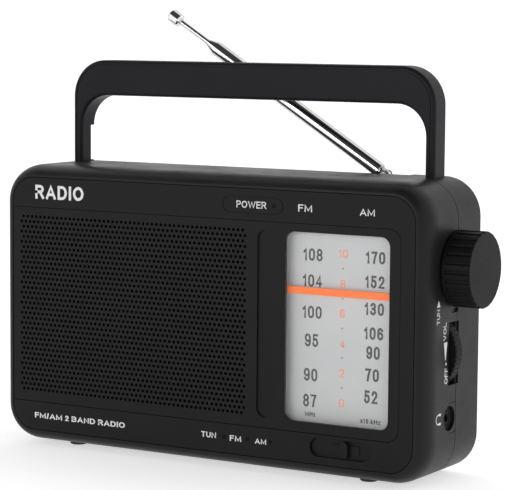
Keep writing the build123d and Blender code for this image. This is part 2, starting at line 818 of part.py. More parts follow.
# ---------------------------------------------------------------- rear shell
rear_y0 = seam_y + seam_gap / 2
lip_in = wall + lip_gap + lip_t
with BuildPart() as rear_shell:
    with BuildSketch(front_plane(back_y)):
        with Locations((0, cab_zc)):
            RectangleRounded(cab_w, cab_h, corner_r)
    extrude(amount=back_y - rear_y0)
    fillet(rear_shell.faces().sort_by(Axis.Y)[-1].edges(), 2.2)
    with BuildSketch(front_plane(back_y - wall)):
        with Locations((0, cab_zc)):
            RectangleRounded(cab_w - 2 * wall, cab_h - 2 * wall, corner_r - wall)
    extrude(amount=40, mode=Mode.SUBTRACT)
    # locating lip that stands inside the front shell's wall
    with BuildSketch(front_plane(rear_y0 + 4)):
        with Locations((0, cab_zc)):
            RectangleRounded(cab_w - 2 * wall + 0.2, cab_h - 2 * wall + 0.2, corner_r - wall + 0.1)
            RectangleRounded(cab_w - 2 * lip_in, cab_h - 2 * lip_in, corner_r - lip_in, mode=Mode.SUBTRACT)
    extrude(amount=4)
    with BuildSketch(front_plane(rear_y0 + 1)):
        with Locations((0, cab_zc)):
            lip_out = wall + lip_gap
            RectangleRounded(cab_w - 2 * lip_out, cab_h - 2 * lip_out, corner_r - lip_out)
            RectangleRounded(cab_w - 2 * lip_in, cab_h - 2 * lip_in, corner_r - lip_in, mode=Mode.SUBTRACT)
    extrude(amount=3.2)
    # floor under the antenna's channel
    with BuildSketch(front_plane(back_y - 1)):
        with Locations((-9.75, ant_floor - 0.9)):
            Rectangle(201.5, 3.4)
    extrude(amount=back_y - 1 - 18.6)
    # battery box
    box_x = (bat_x0 + bat_x1) / 2
    box_z = (bat_z0 + bat_z1) / 2
    box_w = bat_x1 - bat_x0
    box_h = bat_z1 - bat_z0
    with BuildSketch(front_plane(back_y - 1)):
        with Locations((box_x, box_z)):
            Rectangle(box_w + 2 * bat_wall, box_h + 2 * bat_wall)
    extrude(amount=back_y - 1 - bat_front + bat_wall)
    with BuildSketch(front_plane(back_y + 1)):
        with Locations((box_x, box_z)):
            Rectangle(box_w, box_h)
    extrude(amount=back_y + 1 - bat_front, mode=Mode.SUBTRACT)
    # sunk ledge that the battery door closes on
    with BuildSketch(front_plane(back_y + 1)):
        with Locations((box_x, box_z)):
            RectangleRounded(box_w + 5.0, box_h + 5.0, 3.0)
    extrude(amount=1 + 1.6, mode=Mode.SUBTRACT)
    # screw towers
    with BuildSketch(front_plane(back_y - 1)):
        with Locations(*case_bosses):
            Circle(4.2)
    extrude(amount=back_y - 1 - (boss_end + 0.1))
    with BuildSketch(front_plane(back_y + 1)):
        with Locations(*case_bosses):
            Circle(3.1)
    extrude(amount=back_y + 1 - 10, mode=Mode.SUBTRACT)
    with BuildSketch(front_plane(11)):
        with Locations(*case_bosses):
            Circle(1.7)
    extrude(amount=10, mode=Mode.SUBTRACT)
    # posts that the handle's legs are screwed to
    with BuildSketch(front_plane(back_y - 1)):
        with Locations((hdl_x - hdl_leg / 2, hdl_screw_z), (-hdl_x + hdl_leg / 2, hdl_screw_z)):
            Circle(3.2)
    extrude(amount=back_y - 1 - hdl_back - 0.1)
    with BuildSketch(front_plane(back_y - 1.5)):
        with Locations((hdl_x - hdl_leg / 2, hdl_screw_z), (-hdl_x + hdl_leg / 2, hdl_screw_z)):
            Circle(1.4)
    extrude(amount=8, mode=Mode.SUBTRACT)
    # slots in the top for the legs
    with BuildSketch(Plane.XY.offset(126.0)):
        leg_mid = hdl_x - hdl_leg / 2
        leg_y = (hdl_front + hdl_back) / 2
        with Locations((leg_mid, leg_y), (-leg_mid, leg_y)):
            Rectangle(hdl_leg + 0.3, hdl_back - hdl_front + 0.3)
    extrude(amount=15, mode=Mode.SUBTRACT)
    # channel along the top rear edge that the folded antenna lies in
    with BuildSketch(side_plane(ant_channel_x1)):
        with Locations(((ant_channel_y + back_y + 4) / 2, (ant_floor + cab_top + 4) / 2)):
            Rectangle(back_y + 4 - ant_channel_y, cab_top + 4 - ant_floor)
    extrude(amount=-(ant_channel_x1 + half_w + 2), mode=Mode.SUBTRACT)
    with BuildSketch(Plane.XY.offset(ant_floor)):
        with Locations((ant_x, ant_y)):
            Circle(1.6)
    extrude(amount=-2.3, mode=Mode.SUBTRACT)
    # the shaft's opening, and the sunk edge beside the volume wheel
    with BuildSketch(side_plane(half_w - 6)):
        with Locations((shaft_y, shaft_z)):
            Circle(shaft_r + 0.3)
    extrude(amount=8, mode=Mode.SUBTRACT)
    with BuildSketch(side_plane(half_w - 0.8)):
        with Locations((0, wheel_z)):
            Rectangle(10.0, 28.6)
    extrude(amount=2, mode=Mode.SUBTRACT)
    with BuildSketch(side_plane(half_w - 1.0)):
        with Locations((1.0, notch_z)):
            Rectangle(6.0, 2.2)
    extrude(amount=2, mode=Mode.SUBTRACT)
    with BuildSketch(side_plane(half_w - 6)):
        with Locations((jack_y, jack_z)):
            Rectangle(11.0, 13.0)
    extrude(amount=3.4, mode=Mode.SUBTRACT)
    # the lip gives way to the volume wheel
    with BuildSketch(side_plane(half_w - 9)):
        with Locations((0, wheel_z)):
            Rectangle(14.6, 40.0)
    extrude(amount=9 - wall, mode=Mode.SUBTRACT)
save(rear_shell.part, "rear_shell")

with BuildPart() as case_screws:
    with BuildSketch(front_plane(12.0)):
        with Locations(*case_bosses):
            Circle(2.8)
    extrude(amount=2)
    with BuildSketch(front_plane(10.0)):
        with Locations(*case_bosses):
            Circle(1.48)
    extrude(amount=18)
    # cross recess
    with BuildSketch(front_plane(12.0)):
        with Locations(*case_bosses):
            Rectangle(3.0, 0.7)
            Rectangle(0.7, 3.0)
    extrude(amount=1.1, mode=Mode.SUBTRACT)
save(case_screws.part, "case_screws")

# ---------------------------------------------------------------- battery door and contacts
with BuildPart() as battery_door:
    with BuildSketch(front_plane(back_y)):
        with Locations((box_x, box_z)):
            RectangleRounded(box_w + 4.5, box_h + 4.5, 2.75)
    extrude(amount=1.5)
    # grip ribs and the arrow-side thumb step
    with BuildSketch(front_plane(back_y + 0.4)):
        with Locations((box_x, bat_z1 - 6)):
            with GridLocations(1, 1.8, 1, 4):
                Rectangle(16.0, 0.8)
    extrude(amount=0.6)
    # hooks at the lower edge
    with BuildSketch(front_plane(back_y - 1.4)):
        with Locations((box_x - 16, bat_z0 + 1.0), (box_x + 16, bat_z0 + 1.0)):
            Rectangle(6.0, 1.4)
    extrude(amount=3.0)
save(battery_door.part, "battery_door")

cell_pitch = box_h / 4
with BuildPart() as battery_springs:
    for row in range(4):
        side = -1 if row % 2 == 0 else 1
        row_z = bat_z0 + cell_pitch * (row + 0.5)
        spring_x = bat_x0 + 0.9 if side < 0 else bat_x1 - 0.9
        coil_plane = Plane(origin=(spring_x, 17.2, row_z), x_dir=(0, 1, 0), z_dir=(-side, 0, 0))
        for turn in range(3):
            with BuildSketch(coil_plane.offset(turn * 1.1)):
                Circle(4.4 - turn * 0.9)
                Circle(3.3 - turn * 0.9, mode=Mode.SUBTRACT)
            extrude(amount=1.1)
save(battery_springs.part, "battery_springs")

with BuildPart() as battery_contacts:
    for x0, step in ((bat_x0 + 0.1, 1), (bat_x1 - 0.1, -1)):
        with BuildSketch(side_plane(x0)):
            for row in range(4):
                with Locations((17.2, bat_z0 + cell_pitch * (row + 0.5))):
                    Rectangle(10.5, 11.0)
        extrude(amount=0.5 * step)
save(battery_contacts.part, "battery_contacts")

# ---------------------------------------------------------------- feet
with BuildPart() as feet:
    with BuildSketch(Plane.XY):
        with Locations((-81, -13.5), (81, -13.5), (-81, 18), (81, 18)):
            Circle(4.2)
    extrude(amount=foot_h)
    chamfer(feet.edges().filter_by(GeomType.CIRCLE).group_by(Axis.Z)[0], 0.5)
save(feet.part, "feet")

# ---------------------------------------------------------------- handle
with BuildPart() as handle:
    leg_h = hdl_top - hdl_bottom
    with BuildSketch(front_plane(hdl_back)):
        with BuildLine():
            FilletPolyline(
                (-hdl_x, hdl_bottom),
                (-hdl_x, hdl_top),
                (hdl_x, hdl_top),
                (hdl_x, hdl_bottom),
                radius=hdl_out_r,
            )
            Line((hdl_x, hdl_bottom), (hdl_x - hdl_leg, hdl_bottom))
            FilletPolyline(
                (hdl_x - hdl_leg, hdl_bottom),
                (hdl_x - hdl_leg, hdl_top - hdl_bar),
                (-hdl_x + hdl_leg, hdl_top - hdl_bar),
                (-hdl_x + hdl_leg, hdl_bottom),
                radius=hdl_in_r,
            )
            Line((-hdl_x + hdl_leg, hdl_bottom), (-hdl_x, hdl_bottom))
        make_face()
    extrude(amount=hdl_back - hdl_front)
    for face, radius in ((0, 1.8), (-1, 1.0)):
        rim = handle.faces().sort_by(Axis.Y)[face].edges()
        fillet(rim.filter_by(lambda e: e.center().Z > hdl_bottom + 1), radius)
    # fine groove that follows the outer edge on the front face
    with BuildSketch(front_plane(hdl_front + 0.35)):
        for inset, mode in ((2.0, Mode.ADD), (2.45, Mode.SUBTRACT)):
            with BuildLine():
                edge_x = hdl_x - inset
                edge_z = hdl_top - inset
                FilletPolyline(
                    (-edge_x, hdl_bottom - 1),
                    (-edge_x, edge_z),
                    (edge_x, edge_z),
                    (edge_x, hdl_bottom - 1),
                    radius=hdl_out_r - inset,
                )
                Line((edge_x, hdl_bottom - 1), (-edge_x, hdl_bottom - 1))
            make_face(mode=mode)
    extrude(amount=2, mode=Mode.SUBTRACT)
    # pockets in the rear part of each leg's inner side, open to the rear
    for side in (-1, 1):
        with BuildSketch(front_plane(hdl_back + 1)):
            with Locations((side * (hdl_x - hdl_leg + 0.75), 146.95)):
                Rectangle(3.5, 17.5)
        extrude(amount=5.3, mode=Mode.SUBTRACT)
    with BuildSketch(front_plane(hdl_back + 1)):
        with Locations((leg_mid, hdl_screw_z), (-leg_mid, hdl_screw_z)):
            Circle(1.5)
    extrude(amount=16, mode=Mode.SUBTRACT)
save(handle.part, "handle")

with BuildPart() as handle_screws:
    with BuildSketch(front_plane(hdl_front)):
        with Locations((leg_mid, hdl_screw_z), (-leg_mid, hdl_screw_z)):
            Circle(2.0)
    extrude(amount=1.6)
    with BuildSketch(front_plane(hdl_back + 4)):
        with Locations((leg_mid, hdl_screw_z), (-leg_mid, hdl_screw_z)):
            Circle(1.38)
    extrude(amount=hdl_back + 4 - hdl_front)
save(handle_screws.part, "handle_screws")

# ---------------------------------------------------------------- telescopic antenna
tilt = math.radians(ant_tilt)
ant_dir = (-math.cos(tilt), 0, math.sin(tilt))
ant_plane = Plane(origin=(ant_x, ant_y, ant_z), x_dir=(0, 1, 0), z_dir=ant_dir)

with BuildPart() as antenna_plate:
    with BuildSketch(Plane.XY.offset(ant_floor)):
        with Locations((ant_x, ant_y)):
            SlotOverall(14.0, 6.2)
            Circle(1.6, mode=Mode.SUBTRACT)
    extrude(amount=0.8)
save(antenna_plate.part, "antenna_plate")

with BuildPart() as antenna_swivel:
    # turntable on a stub that turns in the plate and the shell
    with BuildSketch(Plane.XY.offset(ant_floor + 0.9)):
        with Locations((ant_x, ant_y)):
            Circle(3.1)
    extrude(amount=1.1)
    with BuildSketch(Plane.XY.offset(ant_floor - 2.2)):
        with Locations((ant_x, ant_y)):
            Circle(1.5)
    extrude(amount=3.2)
    # two cheeks of the fork
    for cheek in (ant_y - 1.2, ant_y + 2.3):
        with BuildSketch(front_plane(cheek)):
            with Locations((ant_x, ant_z)):
                Circle(2.4)
            with Locations((ant_x, (ant_z + ant_floor + 1.5) / 2)):
                Rectangle(4.0, ant_z - ant_floor - 1.5)
        extrude(amount=1.1)
    with BuildSketch(front_plane(ant_y + 4)):
        with Locations((ant_x, ant_z)):
            Circle(0.85)
    extrude(amount=8, mode=Mode.SUBTRACT)
save(antenna_swivel.part, "antenna_swivel")

with BuildPart() as antenna_pin:
    with BuildSketch(front_plane(ant_y + 2.3)):
        with Locations((ant_x, ant_z)):
            Circle(0.83)
    extrude(amount=4.6)
    # rolled heads
    with BuildSketch(front_plane(ant_y + 2.8)):
        with Locations((ant_x, ant_z)):
            Circle(1.5)
    extrude(amount=0.5)
    with BuildSketch(front_plane(ant_y - 2.3)):
        with Locations((ant_x, ant_z)):
            Circle(1.5)
    extrude(amount=0.5)
save(antenna_pin.part, "antenna_pin")

with BuildPart() as antenna_tube_1:
    # flattened tongue, then the plug that closes the tube's lower end
    with BuildSketch(front_plane(ant_y + 1.1)):
        with Locations((ant_x, ant_z)):
            Circle(2.3)
        with BuildLine():
            p1 = (ant_x - 2.3 * math.sin(tilt), ant_z - 2.3 * math.cos(tilt))
            p2 = (p1[0] - 5 * math.cos(tilt), p1[1] + 5 * math.sin(tilt))
            p4 = (ant_x + 2.3 * math.sin(tilt), ant_z + 2.3 * math.cos(tilt))
            p3 = (p4[0] - 5 * math.cos(tilt), p4[1] + 5 * math.sin(tilt))
            Polyline(p1, p2, p3, p4, close=True)
        make_face()
    extrude(amount=2.2)
    with BuildSketch(ant_plane.offset(tube_start - 0.6)):
        Circle(2.4)
    extrude(amount=0.8)
    with BuildSketch(ant_plane.offset(tube_start)):
        Circle(tube_d[0] / 2)
    extrude(amount=tube_end - tube_start)
    with BuildSketch(ant_plane.offset(tube_start + 3)):
        Circle(tube_d[0] / 2 - tube_wall)
    extrude(amount=tube_end, mode=Mode.SUBTRACT)
    with BuildSketch(front_plane(ant_y + 4)):
        with Locations((ant_x, ant_z)):
            Circle(0.88)
    extrude(amount=8, mode=Mode.SUBTRACT)
save(antenna_tube_1.part, "antenna_tube_1")

for index in range(1, 5):
    with BuildPart() as antenna_tube:
        with BuildSketch(ant_plane.offset(tube_start + 3 + tube_step * index)):
            Circle(tube_d[index] / 2)
            Circle(tube_d[index] / 2 - tube_wall, mode=Mode.SUBTRACT)
        extrude(amount=tube_end - tube_start - 3)
    save(antenna_tube.part, "antenna_tube_" + str(index + 1))

with BuildPart() as antenna_rod:
    with BuildSketch(ant_plane.offset(34.0)):
        Circle(rod_d / 2)
    extrude(amount=rod_tip - 2 - 34.0)
    with BuildSketch(ant_plane.offset(rod_tip - cap_l)):
        Circle(cap_d / 2)
    extrude(amount=cap_l)
    rod_ends = antenna_rod.edges().filter_by(GeomType.CIRCLE)
    chamfer(rod_ends.filter_by(lambda e: abs(e.radius - cap_d / 2) < 0.01), 0.7)
save(antenna_rod.part, "antenna_rod")
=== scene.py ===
import math

import bmesh
import bpy
from mathutils import Matrix, Vector


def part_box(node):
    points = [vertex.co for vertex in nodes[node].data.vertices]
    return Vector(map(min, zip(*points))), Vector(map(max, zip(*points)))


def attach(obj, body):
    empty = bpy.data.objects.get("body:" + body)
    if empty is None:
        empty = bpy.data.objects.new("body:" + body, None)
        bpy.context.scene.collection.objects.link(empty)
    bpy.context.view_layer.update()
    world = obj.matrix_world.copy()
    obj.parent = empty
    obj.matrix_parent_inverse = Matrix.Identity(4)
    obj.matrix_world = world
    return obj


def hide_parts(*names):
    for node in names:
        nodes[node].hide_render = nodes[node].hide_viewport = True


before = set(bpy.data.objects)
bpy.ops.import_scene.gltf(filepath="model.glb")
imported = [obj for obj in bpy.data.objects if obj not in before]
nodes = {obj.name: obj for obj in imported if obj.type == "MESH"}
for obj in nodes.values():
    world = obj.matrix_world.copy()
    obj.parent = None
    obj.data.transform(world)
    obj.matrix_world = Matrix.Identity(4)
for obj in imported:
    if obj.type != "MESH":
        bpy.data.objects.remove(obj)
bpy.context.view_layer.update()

MM = 0.001
ROOT = "cabinet"
scene = bpy.context.scene

# Camera: places in metres, directions as unit vectors.
SENSOR_WIDTH = 36.0
LENS = 155.25
CLIP_NEAR, CLIP_FAR = 0.05, 50.0
CAMERA_PLACE = (0.5405, -0.8874, 0.2083)
CAMERA_RIGHT = (0.8584, 0.5130, 0.0076)
CAMERA_FORWARD = (-0.5096, 0.8543, -0.1016)

# Studio: the flag's edge is given as the cosine of the angle from its middle.
WORLD_BRIGHT = 1.05
WORLD_DARK = 0.05
FLAG_MIDDLE = (0.06, -0.45, 0.89)
FLAG_OUTER, FLAG_INNER = 0.62, 0.82
FLOOR_RADIUS = 12.0
FLOOR_SIDES = 96
FLOOR_GLOW = 0.55
FLOOR_PAPER = (0.93, 0.93, 0.93, 1)
WHITE = (1, 1, 1, 1)
# name, place, target, width and height in metres, power in watts
LIGHTS = (
    ("front_box", (-0.55, -1.9, 0.50), (0, 0, 0.12), (0.7, 0.35), 6),
    ("rear_right_box", (1.3, 1.5, 0.5), (0, 0, 0.08), (1.0, 0.9), 1.0),
)

# Materials: the middle part of a noise's values, and the colour sockets of the Mix node.
NOISE_LOW, NOISE_HIGH = 0.3, 0.7
MIX_FIRST, MIX_SECOND, MIX_RESULT = 6, 7, 2

# Print and lettering: lengths in mm, letter measures over the letter's height.
INK_THICK = 0.04
SIDE_WALL = 116.0
STROKE_WEIGHT = 0.18
LETTER_GAP = 0.14
WORD_GAP = 0.32
LAYER_STEP = 0.06
LAYER_COUNT = 3
MITRE_LIMIT = 1.6
MITRE_LEAST_COSINE = 0.3
LAST_OF_ROUND = 342

# Band switch's knob, in mm.
POST_RISE = 2.45
POST_HALF_WIDTH = 1.9
POST_HALF_HEIGHT = 3.7
POST_ARC_STEPS = 16
PLATE_HALF_WIDTH = 7.0
PLATE_HALF_HEIGHT = 2.1
PLATE_RISE = 0.22
CLEARANCE = 0.02
EDGE_RADIUS = 0.5
EDGE_SEGMENTS = 3
EDGE_ANGLE = 50


def add_object(name, mesh, mat):
    """Turns a bmesh into an object of the scene with one material."""
    data = bpy.data.meshes.new(name)
    mesh.to_mesh(data)
    mesh.free()
    data.materials.append(mat)
    obj = bpy.data.objects.new(name, data)
    scene.collection.objects.link(obj)
    return obj


# ------------------------------------------------------------------ nodes
def fill(node, values):
    """Sets plain values on a node's input sockets."""
    for name, value in values.items():
        node.inputs[name].default_value = value


def add(net, kind, values=None, **settings):
    """New node, with settings on the node and plain values on its input sockets."""
    node = net.nodes.new(kind)
    for key, value in settings.items():
        setattr(node, key, value)
    fill(node, values or {})
    return node


def object_axes(net):
    """Metres along the object's own axes, from one node per material."""
    place = net.nodes.get("Place") or add(net, "ShaderNodeTexCoord", name="Place")
    return place.outputs["Object"]


def noise(net, scale, detail=3.0, roughness=0.55, stretch=None):
    """Noise laid out in metres on the object's own axes."""
    source = object_axes(net)
    if stretch:
        mapping = add(net, "ShaderNodeMapping", {"Scale": stretch})
        net.links.new(source, mapping.inputs["Vector"])
        source = mapping.outputs["Vector"]
    texture = add(net, "ShaderNodeTexNoise",
                  {"Scale": scale, "Detail": detail, "Roughness": roughness})
    net.links.new(source, texture.inputs["Vector"])
    return texture.outputs["Fac"]


def spread(net, source, low, high):
    """Noise values brought into the range low to high."""
    ramp = add(net, "ShaderNodeMapRange",
               {"From Min": NOISE_LOW, "From Max": NOISE_HIGH, "To Min": low, "To Max": high})
    net.links.new(source, ramp.inputs["Value"])
    return ramp.outputs["Result"]


def mixed(net, factor, first, second):
    """Colour between first and second."""
    mix = add(net, "ShaderNodeMix", {MIX_FIRST: (*first, 1), MIX_SECOND: (*second, 1)},
              data_type="RGBA")
    net.links.new(factor, mix.inputs["Factor"])
    return mix.outputs[MIX_RESULT]


def tone_by(net, shader, source, dark, light):
    """Base colour that wanders between dark and light with a noise."""
    tone = mixed(net, spread(net, source, 0, 1), dark, light)
    net.links.new(tone, shader.inputs["Base Color"])
    return tone


def rough_by(net, shader, source, low, high):
    """Roughness that wanders between low and high with a noise."""
    net.links.new(spread(net, source, low, high), shader.inputs["Roughness"])


def bump(net, shader, height, strength, distance, under=None):
    """Bump from a height, stacked on another bump's normal if one is given."""
    node = add(net, "ShaderNodeBump", {"Strength": strength, "Distance": distance})
    net.links.new(height, node.inputs["Height"])
    if under is not None:
        net.links.new(under, node.inputs["Normal"])
    net.links.new(node.outputs["Normal"], shader.inputs["Normal"])
    return node.outputs["Normal"]


# ------------------------------------------------------------------ materials
def new_material(name, values=None):
    """Principled material with plain values on its shader."""
    mat = bpy.data.materials.new(name)
    mat.use_nodes = True
    shader = mat.node_tree.nodes["Principled BSDF"]
    fill(shader, values or {})
    return mat, shader, mat.node_tree


def moulded(name, dark, light, rough, grain, depth, specular=0.5):
    """Injection-moulded plastic: fine spark-eroded grain, slow cloudiness, faint handling marks."""
    mat, shader, net = new_material(name, {"Specular IOR Level": specular})
    cloud = noise(net, scale=38, detail=4)
    fine = noise(net, scale=grain, detail=2, roughness=0.6)
    marks = noise(net, scale=160, detail=5, roughness=0.7, stretch=(1.0, 1.0, 4.0))
    tone_by(net, shader, cloud, dark, light)
    wear = add(net, "ShaderNodeMath", operation="ADD")
    net.links.new(spread(net, cloud, *rough), wear.inputs[0])
    net.links.new(spread(net, marks, -0.03, 0.05), wear.inputs[1])
    net.links.new(wear.outputs[0], shader.inputs["Roughness"])
    base = bump(net, shader, fine, strength=depth, distance=0.00004)
    bump(net, shader, marks, strength=0.12, distance=0.00005, under=base)
    return mat


def chrome_plate(name, dark, light):
    """Bright nickel-chrome plate with faint drawing lines and fingerprints."""
    mat, shader, net = new_material(
        name, {"Metallic": 1.0, "Specular Tint": (0.34, 0.34, 0.33, 1)})
    smear = noise(net, scale=120, detail=4, roughness=0.6)
    tone_by(net, shader, smear, dark, light)
    rough_by(net, shader, smear, 0.07, 0.13)
    lines = noise(net, scale=900, detail=2, roughness=0.5)
    bump(net, shader, lines, strength=0.04, distance=0.00003)
    return mat


def turned_steel(name, tone):
    """Plated or pressed sheet and turned parts with fine random scratches."""
    mat, shader, net = new_material(name, {"Metallic": 1.0})
    patch = noise(net, scale=260, detail=5, roughness=0.6)
    darker = tuple(c * 0.8 for c in tone)
    tone_by(net, shader, patch, darker, tone)
    rough_by(net, shader, patch, 0.28, 0.42)
    scratch = noise(net, scale=1500, detail=3, roughness=0.6, stretch=(1, 6, 1))
    bump(net, shader, scratch, strength=0.1, distance=0.00003)
    return mat


def clear_lens(name):
    """Thin clear acrylic: nearly no colour, sharp reflections."""
    mat, shader, net = new_material(
        name, {"Base Color": (0.93, 0.95, 0.96, 1), "IOR": 1.49, "Alpha": 0.04})
    haze = noise(net, scale=300, detail=4, roughness=0.6)
    rough_by(net, shader, haze, 0.03, 0.08)
    return mat


def printed_card(name):
    """Pale translucent dial card with a faint paper-like mottle."""
    mat, shader, net = new_material(name)
    cloud = noise(net, scale=45, detail=3)
    tone_by(net, shader, cloud, (0.53, 0.535, 0.54), (0.57, 0.575, 0.58))
    rough_by(net, shader, cloud, 0.48, 0.6)
    bump(net, shader, noise(net, scale=1800, detail=2), strength=0.05, distance=0.00002)
    return mat


def ink(name, thin, thick):
    """Screen-printed ink: slightly uneven cover and a dry surface."""
    mat, shader, net = new_material(name)
    cover = noise(net, scale=2400, detail=3, roughness=0.6)
    tone_by(net, shader, cover, thin, thick)
    rough_by(net, shader, cover, 0.42, 0.58)
    bump(net, shader, cover, strength=0.12, distance=0.00002)
    return mat


def orange_with_painted_glow(name):
    """Orange plastic with a painted glow: a faint emission makes it brighter than its lighting and
    casts orange light on the dial card, though it is no lamp.
    """
    mat, shader, net = new_material(
        name, {"Emission Strength": 0.14, "Specular IOR Level": 0.2})
    cloud = noise(net, scale=500, detail=3)
    tone = tone_by(net, shader, cloud, (0.92, 0.14, 0.001), (1.0, 0.19, 0.003))
    # painted glow: the emission takes the plastic's own orange
    net.links.new(tone, shader.inputs["Emission Color"])
    rough_by(net, shader, cloud, 0.28, 0.4)
    bump(net, shader, noise(net, scale=2200, detail=2), strength=0.08, distance=0.00002)
    return mat


def soft_rubber(name):
    """Dull black rubber."""
    mat, shader, net = new_material(name)
    cloud = noise(net, scale=400, detail=4)
    tone_by(net, shader, cloud, (0.020, 0.020, 0.020), (0.034, 0.033, 0.032))
    rough_by(net, shader, cloud, 0.7, 0.85)
    bump(net, shader, noise(net, scale=3000, detail=2), strength=0.3, distance=0.00005)
    return mat


def board_laminate(name):
    """Brown phenolic board with darker fibre streaks."""
    mat, shader, net = new_material(name)
    fibre = noise(net, scale=300, detail=4, roughness=0.6, stretch=(1, 1, 8))
    tone_by(net, shader, fibre, (0.20, 0.11, 0.04), (0.34, 0.20, 0.08))
    rough_by(net, shader, fibre, 0.45, 0.6)
    bump(net, shader, fibre, strength=0.1, distance=0.00005)
    return mat


def cone_paper(name):
    """Pressed black paper with a felted surface."""
    mat, shader, net = new_material(name, {"Roughness": 0.9})
    felt = noise(net, scale=1200, detail=5, roughness=0.7)
    tone_by(net, shader, felt, (0.010, 0.010, 0.010), (0.030, 0.029, 0.028))
    bump(net, shader, felt, strength=0.5, distance=0.0001)
    return mat


def lamp_lens(name, colour):
    """Small tinted lamp, unlit."""
    mat, shader, net = new_material(
        name, {"Specular IOR Level": 0.05, "Roughness": 0.3, "Coat Weight": 0.1})
    depth = noise(net, scale=900, detail=2)
    dark = tuple(c * 0.5 for c in colour)
    tone_by(net, shader, depth, dark, colour)
    return mat


def winding(name):
    """Enamelled copper wire laid side by side; the darker bands between turns are painted shade in
    the grooves.
    """
    mat, shader, net = new_material(name, {"Metallic": 0.7, "Roughness": 0.35})
    wave = add(net, "ShaderNodeTexWave", {"Scale": 380}, bands_direction="X")
    net.links.new(object_axes(net), wave.inputs["Vector"])
    # dark bands: painted shade in the grooves between turns; light bands: the copper's own colour
    tone = mixed(net, wave.outputs["Fac"], (0.20, 0.06, 0.02), (0.62, 0.26, 0.08))
    net.links.new(tone, shader.inputs["Base Color"])
    bump(net, shader, wave.outputs["Fac"], strength=0.4, distance=0.00015)
    return mat


# Moulded plastics: colours in their darkest and lightest clouds, roughness range, grain's scale
# and depth, and the strength of the reflection.
PLASTICS = {
    "shell_plastic": dict(dark=(0.008, 0.008, 0.009), light=(0.012, 0.012, 0.013),
                          rough=(0.34, 0.46), grain=2600, depth=0.28, specular=0.16),
    "face_plastic": dict(dark=(0.006, 0.006, 0.0066), light=(0.009, 0.009, 0.0096),
                         rough=(0.40, 0.52), grain=3000, depth=0.2, specular=0.13),
    "grille_plastic": dict(dark=(0.006, 0.006, 0.0064), light=(0.009, 0.009, 0.0094),
                           rough=(0.40, 0.5), grain=3000, depth=0.25, specular=0.13),
    "grip_plastic": dict(dark=(0.007, 0.007, 0.0100), light=(0.011, 0.011, 0.0150),
                         rough=(0.36, 0.48), grain=1900, depth=0.45, specular=0.12),
    "control_plastic": dict(dark=(0.006, 0.006, 0.0066), light=(0.009, 0.009, 0.0098),
                            rough=(0.34, 0.46), grain=2600, depth=0.3, specular=0.06),
    "inner_plastic": dict(dark=(0.02, 0.02, 0.021), light=(0.035, 0.035, 0.036),
                          rough=(0.45, 0.6), grain=1800, depth=0.2),
    "white_nylon": dict(dark=(0.62, 0.60, 0.56), light=(0.72, 0.70, 0.66),
                        rough=(0.35, 0.5), grain=1500, depth=0.1),
    "ferrite_black": dict(dark=(0.03, 0.03, 0.032), light=(0.06, 0.06, 0.062),
                          rough=(0.6, 0.8), grain=1500, depth=0.4),
    "chip_epoxy": dict(dark=(0.015, 0.015, 0.016), light=(0.03, 0.03, 0.03),
                       rough=(0.5, 0.65), grain=2200, depth=0.3),
}


def paint(mat, *names):
    """Gives CAD pieces a material."""
    for name in names:
        obj = nodes[name]
        if not obj.material_slots:
            obj.data.materials.append(mat)
        for slot in obj.material_slots:
            slot.material = mat


def paint_everything():
    plastic = {name: moulded(name, **look) for name, look in PLASTICS.items()}
    paint(plastic["shell_plastic"], "front_shell", "rear_shell", "battery_door")
    paint(plastic["face_plastic"], "faceplate", "band_slider")
    paint(plastic["grille_plastic"], "grille_panel")
    paint(plastic["grip_plastic"], "handle")
    paint(plastic["control_plastic"], "tuning_knob", "volume_wheel", "earphone_jack")
    paint(plastic["inner_plastic"], "dial_chassis", "board_capacitors")
    paint(plastic["white_nylon"], "tuning_drum", "cord_pulley_left", "cord_pulley_right",
          "tuning_capacitor", "ferrite_clips")
    paint(plastic["ferrite_black"], "ferrite_rod", "speaker_magnet")
    paint(plastic["chip_epoxy"], "board_chips")
    paint(clear_lens("dial_acrylic"), "dial_lens")
    paint(printed_card("dial_card"), "dial_scale")
    paint(orange_with_painted_glow("pointer_orange"), "dial_pointer")
    paint(chrome_plate("chrome_tube", (0.74, 0.74, 0.73), (0.84, 0.84, 0.83)),
          "antenna_tube_1", "antenna_tube_2", "antenna_tube_3",
          "antenna_tube_4", "antenna_tube_5", "antenna_rod")
    paint(chrome_plate("dark_nickel", (0.16, 0.16, 0.155), (0.26, 0.26, 0.25)),
          "antenna_swivel", "antenna_plate")
    paint(turned_steel("plated_steel", (0.62, 0.62, 0.61)),
          "chassis_screws", "pointer_rail", "tuning_shaft", "volume_pot", "band_switch",
          "speaker_frame", "speaker_screws", "board_screws", "board_cans", "case_screws",
          "battery_springs", "handle_screws", "antenna_pin")
    paint(turned_steel("contact_brass", (0.72, 0.55, 0.25)), "battery_contacts")
    paint(soft_rubber("foot_rubber"), "feet")
    paint(board_laminate("board_phenolic"), "switch_board", "lamp_board", "main_board")
    paint(cone_paper("cone_felt"), "speaker_cone")
    paint(lamp_lens("lamp_unlit", (0.004, 0.0015, 0.0015)), "power_lamp", "band_lamps")
    paint(winding("coil_winding"), "ferrite_coil")


# ------------------------------------------------------------------ camera, floor, light
def make_camera():
    """Long-lens view from the front right, a little above the cabinet."""
    data = bpy.data.cameras.new("camera")
    data.sensor_width = SENSOR_WIDTH
    data.lens = LENS
    data.clip_start = CLIP_NEAR
    data.clip_end = CLIP_FAR
    camera = bpy.data.objects.new("camera", data)
    scene.collection.objects.link(camera)
    right = Vector(CAMERA_RIGHT).normalized()
    forward = Vector(CAMERA_FORWARD)
    forward = (forward - right * forward.dot(right)).normalized()
    up = right.cross(forward)
    turn = Matrix((right, up, -forward)).transposed()
    camera.matrix_world = Matrix.Translation(CAMERA_PLACE) @ turn.to_4x4()
    scene.camera = camera


